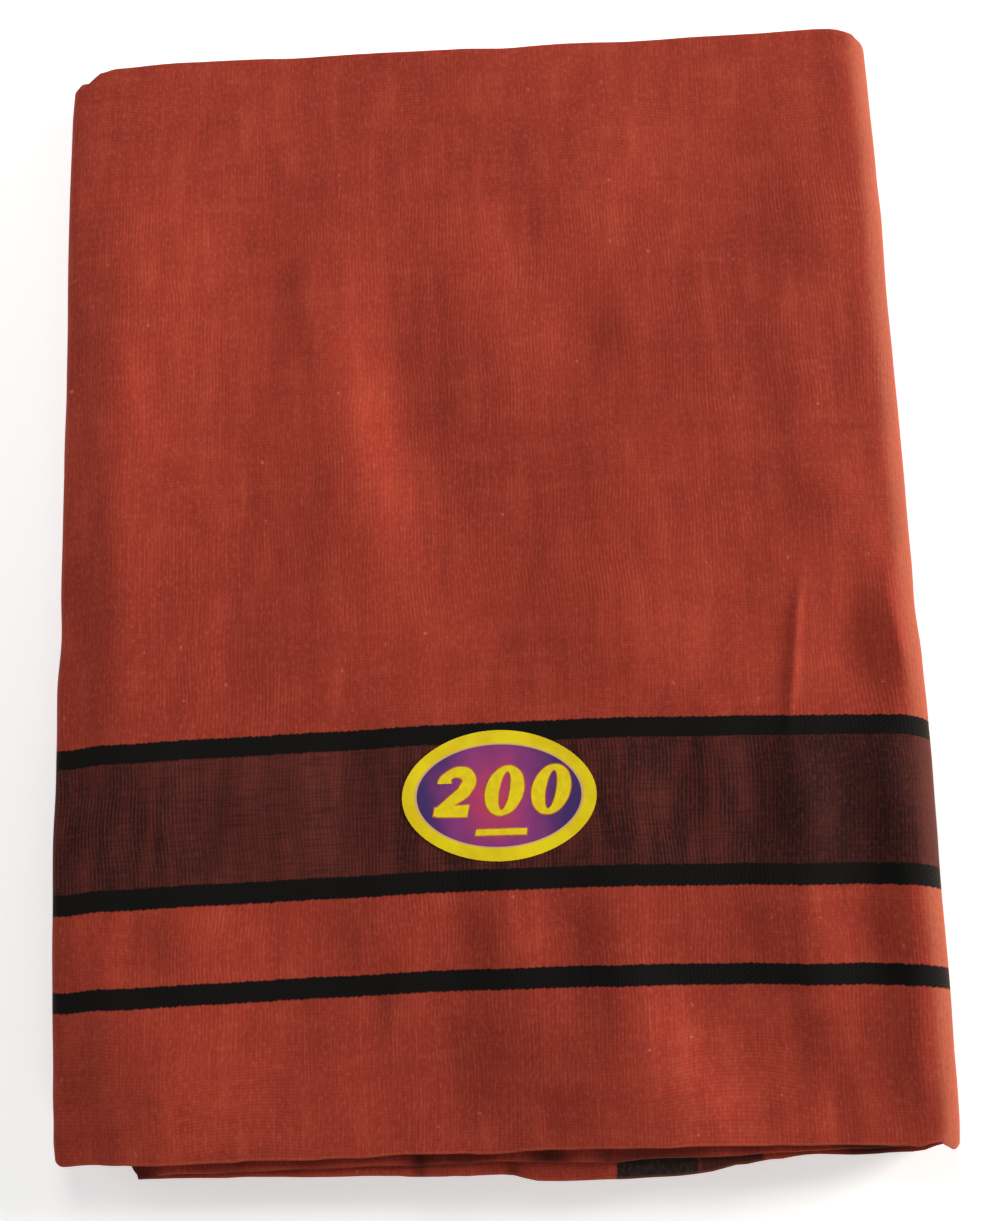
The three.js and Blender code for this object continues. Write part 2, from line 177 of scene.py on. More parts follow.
# where the near edge of the top lifts off the leaves under it
NEAR_LIFT = table("x high", [
    (-127, 0.1), (-110, 0.0), (-95, 0.5), (-70, 0.35), (-45, 0.25), (-30, 0.3), (-18, 1.0),
    (-8, 0.75), (2, 0.45), (12, 0.95), (22, 0.5), (32, 0.8), (44, 0.85), (56, 0.35), (76, 0.2),
    (90, 0.25), (104, 1.0), (114, 0.7), (122, 0.2)])


def rise(v):
    """A smooth step from -1 to 1."""
    return np.tanh(1.1283 * v + 0.1009 * v ** 3)


# painted shade on the near edges of the inner leaves, under dips and in the fold's mouth, together with
#  darkening where the end border's dark bars come to the edge
EDGE_SHADE_AND_BARS = table("level x reach dark", [
    (6, 30, 4, 0.6), (6, 52, 6, 0.55),
    (6, -100.5, 5.6, 1.0), (5, -101.0, 4.4, 0.85), (6, -76, 9, 0.35), (6, -52, 6, 0.3),
    (6, -21.5, 3.8, 0.95), (6, -9, 9, 0.55), (6, 14, 5.6, 0.9), (6, 41, 13.5, 0.66),
    (6, 103, 11, 1.0), (5, -21.5, 2.4, 0.7), (5, 4.2, 2.6, 0.7), (5, -60, 5, 0.3),
    (5, 101, 10, 0.95), (5, 84, 4, 0.35), (6, 68, 4, 0.35)])


def edge_shade_and_bars(level, x):
    out = np.zeros(np.broadcast(level, x).shape)
    for i in range(len(EDGE_SHADE_AND_BARS["x"])):
        out = np.maximum(out, (np.abs(level - EDGE_SHADE_AND_BARS["level"][i]) < 0.6) * EDGE_SHADE_AND_BARS["dark"][i] * np.exp(-np.abs((x - EDGE_SHADE_AND_BARS["x"][i]) / EDGE_SHADE_AND_BARS["reach"][i]) ** 3))
    return out


def hollows(t, x, y):
    out = np.zeros(np.broadcast(x, y).shape)
    for i in range(len(t["x"])):
        a = math.radians(t["turn"][i])
        dx, dy = x - t["x"][i], y - t["y"][i]
        u = (dx * math.sin(a) + dy * math.cos(a)) / t["along"][i]
        v = (dx * math.cos(a) - dy * math.sin(a)) / t["across"][i]
        if "high" in t:
            out += t["high"][i] * np.exp(-u * u - v * v)
        else:
            out -= 1.24 * t["tilt"][i] * t["across"][i] * (rise(v) - rise(v / 3.5)) * np.exp(-u * u)
    return out


# ---------------------------------------------------------------- smooth seeded noise
def lattice(seed):
    return np.random.default_rng(seed).random((64, 64)) * 2 - 1


def noise(x, y, seed):
    g = lattice(seed)
    x, y = np.asarray(x, float) + 1000.0, np.asarray(y, float) + 1000.0
    i, j = np.floor(x).astype(int), np.floor(y).astype(int)
    s, t = x - i, y - j
    s, t = s * s * s * (s * (s * 6 - 15) + 10), t * t * t * (t * (t * 6 - 15) + 10)
    i0, i1, j0, j1 = i % 64, (i + 1) % 64, j % 64, (j + 1) % 64
    a = g[i0, j0] * (1 - s) + g[i1, j0] * s
    b = g[i0, j1] * (1 - s) + g[i1, j1] * s
    return a * (1 - t) + b * t


def smooth(a, b, x):
    t = np.clip((x - a) / (b - a), 0, 1)
    return t * t * (3 - 2 * t)


# ---------------------------------------------------------------- the pile's own bend
def settle(x, y, z):
    """The pressed pile's straight frame, bent to the cloth's outline and relief. Order in z is kept, so nothing crosses."""
    left = eased(OUTLINE, "y", "left", y) + WIDE / 2
    right = eased(OUTLINE, "y", "right", y) - WIDE / 2
    px = x + np.where(x < 0, left, right) * (np.abs(x) / (WIDE / 2)) ** 3
    broad = SWELL * hollows(SLOPES, x, y) + 0.16 * noise(x / 22, y / 34, 3)
    # the top rolls over gently before its round folds
    broad = broad + 0.30 - 1.15 * smooth(114.5, 125, x) - 0.5 * smooth(-118, -126, x)
    fine = hollows(SHARP, x, y)
    grain = 0.06 * noise(x / 7, y / 15, 5) + 0.024 * noise(x / 2.6, y / 6, 7)
    pz = z + broad * smooth(1.5, 13.2, z) + fine * np.clip((z - 11.2) / 1.9, 0, 1) + grain * smooth(13.7, 14.9, z)
    # the underside keeps to the surface and only hollows upward
    pz = pz + (hollows(UNDER, x, y) + 0.06 * (1 + noise(x / 9, y / 16, 11))) * np.clip(1 - z / 1.5, 0, 1) * smooth(-126, -112, x) * smooth(126, 112, x)
    # the pile wanders a little in height along its near and far edges
    edge = smooth(-135, -165, y) + smooth(140, 168, y)
    inner = np.clip(z / 3, 0, 1) * np.clip((15.2 - z) / 3, 0, 1)
    pz = pz + edge * inner * 0.34 * noise(x / 24, z / 9, 13)
    return px + CENTRE_X, y + CENTRE_Y, pz


# ---------------------------------------------------------------- the strip
# Section of one strip at its selvedge end, from its inner face to its outer: how far each point
# lies in from the end, its place between the faces, and its place on the cloth. From the outer
# face: first selvedge, second selvedge, and the first fold of the width.
NEAR_SECTION = table("deep off v", [
    (1.60, -1.00, 648), (0.95, -0.97, 649), (0.62, -0.80, 650), (0.50, -0.55, 650),
    (0.66, -0.30, 650), (1.15, -0.17, 651), (3.2, -0.12, 653), (3.2, -0.05, 1296),
    (1.25, 0.02, 1299), (1.05, 0.14, 1300), (1.2, 0.28, 1299), (2.9, 0.35, 1297),
    (2.9, 0.43, 3), (0.22, 0.50, 0.2), (0.02, 0.64, 0), (0.0, 0.80, 0), (0.10, 0.95, 0.1),
    (0.45, 1.00, 0.5)])
# at the far fold, from the outer face to the inner
FAR_SECTION = table("deep off v", [
    (1.0, 1.00, 324), (0.46, 0.90, 325), (0.14, 0.66, 325), (0.0, 0.30, 325), (0.0, -0.10, 325),
    (0.10, -0.48, 325), (0.40, -0.82, 325), (0.95, -1.00, 326)])


def path_of(*runs):
    """Stations of a strip's middle line: x, z, the outer face's direction, level and share of a turn."""
    out = []
    for run in runs:
        if run[0] == "flat":
            _, level, x0, x1, step = run
            n = max(2, int(round(abs(x1 - x0) / step)))
            s = 1 if x1 > x0 else -1
            for i in range(n + 1):
                x = x0 + (x1 - x0) * i / n
                if out and i == 0 and abs(out[-1][0] - x) < 1e-6 and out[-1][4] == level:
                    continue
                out.append((x, mid(level), 0.0, -1.0 * s, level, level, 0.0))
        else:
            _, side, a_level, b_level, cx, n = run
            za, zb = mid(a_level), mid(b_level)
            cz, r = (za + zb) / 2, (zb - za) / 2          # r is below zero going down
            for i in range(1, n):
                t = i / n
                a = math.pi * t
                x = cx + side * abs(r) * math.sin(a)
                z = cz - r * math.cos(a)
                # radial direction, turned so that the outer face keeps to the path's right hand
                rx, rz = side * math.sin(a), -math.copysign(1, r) * math.cos(a)
                hand = side * math.copysign(1, r)
                out.append((x, z, rx * hand, rz * hand, a_level, b_level, t))
    return out


def level_ends(level, x, column):
    t = TOP_ENDS if level == TOP else UNDER_ENDS if level == 0 else LEVEL_ENDS[level]
    return eased(t, "x", column, x)


def strip_mesh(name, stations, y_step, u0, near_noise=0.0, taper_first=False, taper_last=False):
    st = np.array(stations, float)
    x, z, nx, nz, la, lb, t = st.T
    n = len(st)
    near, far = np.zeros(n), np.zeros(n)
    for k in range(n):
        for arr, col in ((near, "near"), (far, "far")):
            a, b = level_ends(int(la[k]), x[k], col), level_ends(int(lb[k]), x[k], col)
            arr[k] = a + (b - a) * (t[k] * t[k] * (3 - 2 * t[k]))
    near = near + 0.16 * noise(x / 7.5, la * 3.1, 31) * (1 - t) + 0.10 * noise(x / 2.8, la * 3.1, 32) * (1 - t)
    if near_noise:
        lv = la * (1 - t) + lb * t
        near = near + near_noise * noise(x / 16, lv * 1.7, 21) + 0.4 * near_noise * noise(x / 5, lv * 1.7, 22)
        far = far + near_noise * noise(x / 18, lv * 1.7, 23)
    run = np.concatenate([[0], np.cumsum(np.hypot(np.diff(x), np.diff(z)))]) + u0
    steps = int(round((far.mean() - near.mean()) / y_step))
    inside = np.arange(1, steps) / steps
    ns, fs = NEAR_SECTION, FAR_SECTION
    top_level = np.clip(1 - np.abs(la * (1 - t) + lb * t - TOP), 0, 1) * (nz > 0.3)
    thick = np.full(n, HALF)
    if taper_first:
        thick[:4] = HALF * np.array([0.45, 0.8, 0.95, 1.0])
    if taper_last:
        thick[-4:] = HALF * np.array([1.0, 0.95, 0.8, 0.45])
    cols = []
    lift = eased(NEAR_LIFT, "x", "high", x) * top_level
    corner = top_level * smooth(-118.5, -122, x)           # at the far left corner the ply below peeks out
    for i in range(len(ns["deep"])):
        cols.append((near + ns["deep"][i], np.full(n, ns["off"][i]), np.full(n, ns["v"][i]), ns["deep"][i] * np.ones(n)))
    a0, a1 = near + ns["deep"][-1], far - fs["deep"][0]
    for s in inside:
        # steps spread evenly from the near end to the far
        w = s
        cols.append((a0 + (a1 - a0) * w, np.ones(n), 0.5 + 323.5 * w * np.ones(n), np.full(n, 9.0)))
    for i in range(len(fs["deep"])):
        under = corner * (0.9 if fs["off"][i] < 0.35 else 0.0)
        cols.append((far - fs["deep"][i] + under, np.full(n, fs["off"][i]), np.full(n, fs["v"][i]), np.full(n, 9.0)))
    b0, b1 = far - fs["deep"][-1], near + ns["deep"][0]
    for s in inside:
        cols.append((b0 + (b1 - b0) * s, -np.ones(n), 326 + 322 * s * np.ones(n), np.full(n, 9.0)))
    Y = np.stack([c[0] for c in cols], 1)
    OFF = np.stack([c[1] for c in cols], 1)
    V = np.stack([c[2] for c in cols], 1)
    E = np.stack([c[3] for c in cols], 1)
    X = x[:, None] + nx[:, None] * OFF * thick[:, None]
    Z = z[:, None] + nz[:, None] * OFF * thick[:, None]
    from_near = Y - near[:, None]
    # the top's near edge lifts in waves, its first selvedge most
    Z = Z + lift[:, None] * np.exp(-np.clip(from_near, 0, None) / 7.0) * (0.45 + 0.55 * smooth(0.3, 0.6, OFF))
    # painted shade and end-border bars along the inner leaves' near edges; the leaf under the top also dips a little
    # there
    shade_and_bars = edge_shade_and_bars(la * (1 - t) + lb * t, x)
    Z = Z - (shade_and_bars * (np.abs(la - 6) < 0.5) * (t < 0.01) * 0.10)[:, None] * np.exp(-np.clip(from_near, 0, None) / 6.0)
    # stripes on the outer ply keep to their run on the top panel and slip along the right fold
    turned = np.where(lb - la == 0, 0, t)
    skew = np.zeros(n)
    if name == "cloth_wrap":
        is_under = (la == 0) & (lb == 0)
        is_fold = (la == 0) & (lb == TOP)
        stripe_y = np.where(is_under, eased(STRIPE_RUN, "x", "y", np.full(n, RIGHT_X)) - FOLD_SKEW - 0.012 * (RIGHT_X - x), 0)
        stripe_y = np.where(is_fold, eased(STRIPE_RUN, "x", "y", np.full(n, RIGHT_X)) - FOLD_SKEW * (1 - t) ** 1.0, stripe_y)
        stripe_y = np.where(~is_under & ~is_fold, eased(STRIPE_RUN, "x", "y", x), stripe_y)
        outer_run = (V <= 326)
        V = np.where(outer_run & (OFF > 0.3), Y - (stripe_y[:, None] - STRIPE_V), V)
    E = np.where((V > 900) | (OFF > 0.45), np.minimum(E, np.where(V > 900, from_near - 1.0, from_near)), 9.0)
    px, py, pz = settle(X, Y, Z)
    verts = np.stack([px, py, np.maximum(pz, 0.0)], -1).reshape(-1, 3) * MM
    m = Y.shape[1]
    faces = []
    idx = np.arange(n * m).reshape(n, m)
    a, b = idx[:-1], idx[1:]
    quads = np.stack([a, np.roll(a, -1, 1), np.roll(b, -1, 1), b], -1).reshape(-1, 4)
    faces = quads.tolist()
    # caps, as a ladder from face to face
    kn, kf = len(ns["deep"]), len(fs["deep"])
    for k, flip in ((0, True), (n - 1, False)):
        left = list(range(kn // 2, kn + steps - 1 + kf // 2))
        right = [(kn - 1 - i) % m for i in left]
        for p, q in zip(range(len(left) - 1), range(1, len(left))):
            f = [idx[k, left[p]], idx[k, left[q]], idx[k, right[q]], idx[k, right[p]]]
            f = [int(v) for v in dict.fromkeys(f)]
            if len(f) >= 3:
                faces.append(f[::-1] if flip else f)
    me = bpy.data.meshes.new(name)
    me.from_pydata(verts.tolist(), [], faces)
    me.validate()
    me.update()
    U = np.repeat(run[:, None], m, 1)
    att = me.attributes.new("cloth", "FLOAT_VECTOR", "POINT")
    att.data.foreach_set("vector", np.stack([U, V, E], -1).astype(np.float32).ravel())
    # attribute carrying that painted shade and the end border's dark bars, fading in from the near edge
    shade = me.attributes.new("shade_and_bars", "FLOAT", "POINT")
    shade.data.foreach_set("value", (shade_and_bars[:, None] * np.exp(-(np.clip(from_near, 0, None) / 7.0) ** 2)).astype(np.float32).ravel())
    side = me.attributes.new("outer", "FLOAT", "POINT")
    side.data.foreach_set("value", (OFF > 0.45).astype(np.float32).ravel())
    me.polygons.foreach_set("use_smooth", [True] * len(me.polygons))
    ob = bpy.data.objects.new(name, me)
    bpy.context.scene.collection.objects.link(ob)
    return ob


wrap_path = path_of(
    ("flat", 0, -123.6, RIGHT_X, 4.2),
    ("turn", 1, 0, TOP, RIGHT_X, 18),
    ("flat", TOP, RIGHT_X, 104, 1.2),
    ("flat", TOP, 104, 97, 1.75),
    ("flat", TOP, 97, 82, 0.75),
    ("flat", TOP, 82, LEFT_X, 1.9),
    ("turn", -1, TOP, TUCK, LEFT_X, 12),
    ("flat", TUCK, LEFT_X, -108.6, 2.4))
INNER_X = -101.2
fold_path = path_of(
    ("flat", 4, -107.9, RIGHT_X, 5.0),
    ("turn", 1, 4, 3, RIGHT_X, 6),
    ("flat", 3, RIGHT_X, -122.8, 5.0),
    ("turn", -1, 3, 2, -122.8, 8),
    ("flat", 2, -122.8, RIGHT_X, 5.0),
    ("turn", 1, 2, 5, RIGHT_X, 10),
    ("flat", 5, RIGHT_X, INNER_X, 3.2),
    ("turn", -1, 5, 6, INNER_X, 8),
    ("flat", 6, INNER_X, RIGHT_X, 3.2),
    ("turn", 1, 6, 1, RIGHT_X, 12),
    ("flat", 1, RIGHT_X, -122.2, 5.0))

wrap = strip_mesh("cloth_wrap", wrap_path, 2.2, 0.0, taper_first=True)
folds = strip_mesh("cloth_folds", fold_path, 6.0, 540.0, near_noise=0.35, taper_last=True)


# ---------------------------------------------------------------- the label
def on_top(x, y, above):
    """A point that lies on the top panel's face, moved up."""
    return settle(x, y, np.full(np.shape(x), mid(TOP) + HALF) + above)


def label_mesh():
    sectors, rings = 72, 14
    a = 2 * np.pi * np.arange(sectors) / sectors
    # the die-cut oval is not quite an ellipse
    rad = 1 + 0.006 * np.cos(4 * a) + 0.003 * np.cos(3 * a + 1)
    verts, oval, faces = [], [], []
    shares = np.linspace(0, 1, rings + 1)[1:] ** 0.9

    def layer(above, shrink):
        first = len(verts)
        x, y, z = on_top(np.array([LABEL["x"]]), np.array([LABEL["y"]]), above)
        verts.append((x[0], y[0], z[0])); oval.append((0, 0, 0))
        for s in shares:
            ss = s - (shrink if s == shares[-1] else 0)
            dx, dy = LABEL["wide"] / 2 * ss * rad * np.cos(a), LABEL["tall"] / 2 * ss * rad * np.sin(a)
            x, y, z = on_top(LABEL["x"] + dx, LABEL["y"] + dy, above)
            for p in zip(x, y, z):
                verts.append(p)
            for p in zip(dx, dy):
                oval.append((p[0], p[1], s))
        return first

    lo = layer(LABEL["lift"], 0.004)
    hi = layer(LABEL["lift"] + LABEL["thick"], 0.002)
    for base, up in ((lo, False), (hi, True)):
        for i in range(sectors):
            j = (i + 1) % sectors
            f = [base, base + 1 + i, base + 1 + j]
            faces.append(f if up else f[::-1])
            for r in range(rings - 1):
                p = base + 1 + r * sectors
                f = [p + i, p + sectors + i, p + sectors + j, p + j]
                faces.append(f if up else f[::-1])
    e0, e1 = lo + 1 + (rings - 1) * sectors, hi + 1 + (rings - 1) * sectors
    for i in range(sectors):
        j = (i + 1) % sectors
        faces.append([e0 + i, e0 + j, e1 + j, e1 + i])
    me = bpy.data.meshes.new("size_oval")
    me.from_pydata((np.array(verts) * MM).tolist(), [], faces)
    me.update()
    att = me.attributes.new("oval", "FLOAT_VECTOR", "POINT")
    att.data.foreach_set("vector", np.array(oval, np.float32).ravel())
    ob = bpy.data.objects.new("size_oval", me)
    bpy.context.scene.collection.objects.link(ob)
    return ob


# Plain numerals as flat outlines in their own units: a nought is a slanted ring, and a two is a
# stroke of changing width.
SLANT = 0.2


def ring_outline(cx, cy, wide, tall, bar, thin, n=40):
    a = 2 * np.pi * np.arange(n) / n
    outer = np.stack([cx + wide / 2 * np.cos(a), cy + tall / 2 * np.sin(a)], 1)
    inner = np.stack([cx + (wide / 2 - bar) * np.cos(a), cy + (tall / 2 - thin) * np.sin(a)], 1)
    return outer, inner


def stroke_outline(points, widths):
    p, w = np.array(points, float), np.array(widths, float)
    t = np.gradient(p, axis=0)
    t /= np.linalg.norm(t, axis=1)[:, None]
    nrm = np.stack([-t[:, 1], t[:, 0]], 1)
    return p + nrm * w[:, None] / 2, p - nrm * w[:, None] / 2


def printed_mesh(name, bands, above, thick=0.02):
    """Bands of print: each a pair of matching outlines, laid on the label and a hair thick."""
    verts, faces, oval = [], [], []
    for outer, inner, closed in bands:
        n = len(outer)
        base = len(verts)
        for up in (0.0, thick):
            for line in (outer, inner):
                px = line[:, 0] + SLANT * line[:, 1]
                py = line[:, 1]
                x, y, z = on_top(LABEL["x"] + px, LABEL["y"] + py, above + up)
                verts += list(zip(x, y, z))
                oval += [(q[0], q[1], 0) for q in zip(px, py)]
        lo_o, lo_i, hi_o, hi_i = base, base + n, base + 2 * n, base + 3 * n
        last = n if closed else n - 1
        for i in range(last):
            j = (i + 1) % n
            faces.append([hi_o + i, hi_o + j, hi_i + j, hi_i + i])
            faces.append([lo_o + j, lo_o + i, lo_i + i, lo_i + j])
            faces.append([lo_o + i, lo_o + j, hi_o + j, hi_o + i])
            faces.append([lo_i + j, lo_i + i, hi_i + i, hi_i + j])
        if not closed:
            faces.append([lo_o, hi_o, hi_i, lo_i])
            faces.append([lo_o + n - 1, lo_i + n - 1, hi_i + n - 1, hi_o + n - 1])
    me = bpy.data.meshes.new(name)
    me.from_pydata((np.array(verts) * MM).tolist(), [], faces)
    me.update()
    bm_fix(me)
    att = me.attributes.new("oval", "FLOAT_VECTOR", "POINT")
    att.data.foreach_set("vector", np.array(oval, np.float32).ravel())
    ob = bpy.data.objects.new(name, me)
    bpy.context.scene.collection.objects.link(ob)
    return ob


def bm_fix(me):
    import bmesh
    bm = bmesh.new()
    bm.from_mesh(me)
    bmesh.ops.recalc_face_normals(bm, faces=bm.faces)
    bm.to_mesh(me)
    bm.free()


def arc(cx, cy, rx, ry, a0, a1, n):
    a = np.radians(np.linspace(a0, a1, n))
    return list(zip(cx + rx * np.cos(a), cy + ry * np.sin(a)))


def numeral_bands(more=0.0):
    """The print's bands; `more` is how far an outline stands out all round."""
    bands = []
    base = 1.3                                   # the numerals' middle line above the label's
    tall, wide, m = 14.0, 11.0, more
    for cx in (1.4, 14.6):
        o, i = ring_outline(cx, base, wide + 2 * m, tall + 2 * m, 3.95 + 2 * m, 1.6 + 2 * m)
        bands.append((o, i, True))
    cx = -12.4
    h = tall / 2
    stroke = arc(cx - 0.2, base + h - 4.3, 3.5, 2.9, 186, -20, 18)
    diag = np.linspace((cx + 2.9, base + h - 6.6), (cx - 4.4, base - h + 1.7), 10)[1:]
    pts = stroke + [tuple(p) for p in diag]
    w = np.concatenate([[3.9, 3.9, 3.6, 3.1, 2.7], np.linspace(2.6, 4.1, 13), np.linspace(3.9, 2.0, 9)]) + 2 * m
    o, i = stroke_outline(pts, w)
    bands.append((o, i, False))
    foot = np.linspace((cx - 5.3 - m, base - h + 1.6), (cx + 4.4 + m, base - h + 1.6), 8)
    o, i = stroke_outline(foot, np.array([2.2, 2.8, 3.1, 3.2, 3.2, 3.2, 3.3, 3.3]) + 2 * m)
    bands.append((o, i, False))
    # a plain bar under the numerals
    line = np.linspace((-4.8 - m, -10.2), (9.6 + m, -10.2), 8)
    o, i = stroke_outline(line, np.full(8, 1.7 + 2 * m))
    bands.append((o, i, False))
    return bands


oval = label_mesh()
ground = LABEL["lift"] + LABEL["thick"]
outline_ob = printed_mesh("size_numeral_rims", numeral_bands(0.32), ground + 0.008)
print_ob = printed_mesh("size_numerals", numeral_bands(), ground + 0.045)


# ---------------------------------------------------------------- materials
def srgb(r, g, b):
    f = lambda c: (c / 255 / 12.92) if c / 255 <= 0.04045 else ((c / 255 + 0.055) / 1.055) ** 2.4
    return (f(r), f(g), f(b), 1.0)


class Nodes:
    def __init__(self, name):
        self.mat = bpy.data.materials.new(name)
        self.mat.use_nodes = True
        self.t = self.mat.node_tree
        self.t.nodes.clear()
        self.out = self.t.nodes.new("ShaderNodeOutputMaterial")
        self.p = self.t.nodes.new("ShaderNodeBsdfPrincipled")
        self.t.links.new(self.p.outputs[0], self.out.inputs[0])

    def link(self, a, b):
        self.t.links.new(a, b)

    def put(self, sock, v):
        if hasattr(v, "is_output"):
            self.link(v, sock)
        elif v is not None:
            sock.default_value = v

    def math(self, op, a, b=None, c=None, clamp=False):
        n = self.t.nodes.new("ShaderNodeMath")
        n.operation, n.use_clamp = op, clamp
        for s, v in zip(n.inputs, (a, b, c)):
            self.put(s, v)
        return n.outputs[0]

    def mix(self, f, a, b, mode="MIX"):
        n = self.t.nodes.new("ShaderNodeMix")
        n.data_type, n.blend_type = "RGBA", mode
        self.put(n.inputs[0], f)
        self.put(n.inputs[6], a)
        self.put(n.inputs[7], b)
        return n.outputs[2]

    def attr(self, name):
        n = self.t.nodes.new("ShaderNodeAttribute")
        n.attribute_name = name
        return n

    def split(self, v):
        n = self.t.nodes.new("ShaderNodeSeparateXYZ")
        self.link(v, n.inputs[0])
        return n.outputs

    def join(self, x, y, z=0.0):
        n = self.t.nodes.new("ShaderNodeCombineXYZ")
        for s, v in zip(n.inputs, (x, y, z)):
            self.put(s, v)
        return n.outputs[0]

    def noise(self, vec, scale=1.0, detail=2.0, rough=0.5, dist=0.0):
        n = self.t.nodes.new("ShaderNodeTexNoise")
        n.noise_dimensions = "2D"
        self.link(vec, n.inputs["Vector"])
        n.inputs["Scale"].default_value = scale
        n.inputs["Detail"].default_value = detail
        n.inputs["Roughness"].default_value = rough
        n.inputs["Distortion"].default_value = dist
        return n.outputs["Fac"]

    def voronoi(self, vec, scale=1.0):
        n = self.t.nodes.new("ShaderNodeTexVoronoi")
        n.voronoi_dimensions = "2D"
        self.link(vec, n.inputs["Vector"])
        n.inputs["Scale"].default_value = scale
        return n.outputs

    def range(self, v, a, b, c=0.0, d=1.0, soft=True):
        n = self.t.nodes.new("ShaderNodeMapRange")
        n.interpolation_type = "SMOOTHSTEP" if soft else "LINEAR"
        self.link(v, n.inputs[0])
        for s, w in zip(n.inputs[1:5], (a, b, c, d)):
            s.default_value = w
        return n.outputs[0]

    def band(self, v, a, b, soft):
        """1 between a and b, with soft edges."""
        return self.math("MULTIPLY", self.range(v, a - soft, a + soft), self.range(v, b - soft, b + soft, 1, 0))

    def wave(self, v, pitch):
        """0 to 1 and back over each pitch."""
        s = self.math("SINE", self.math("MULTIPLY", v, 2 * math.pi / pitch))
        return self.math("MULTIPLY_ADD", s, 0.5, 0.5)


FOLD_U = RIGHT_X + 123.6         # length along the outer strip where its right fold begins
TOP_U = FOLD_U + math.pi * (mid(TOP) - mid(0)) / 2 + RIGHT_X - 88      # and where the top panel passes x 88
BODY, BODY_DARK, BODY_LIGHT = srgb(166, 58, 41), srgb(116, 34, 26), srgb(196, 84, 60)
BLACK, MAROON, MAROON_RIB = srgb(8, 8, 8), srgb(50, 20, 18), srgb(112, 48, 41)


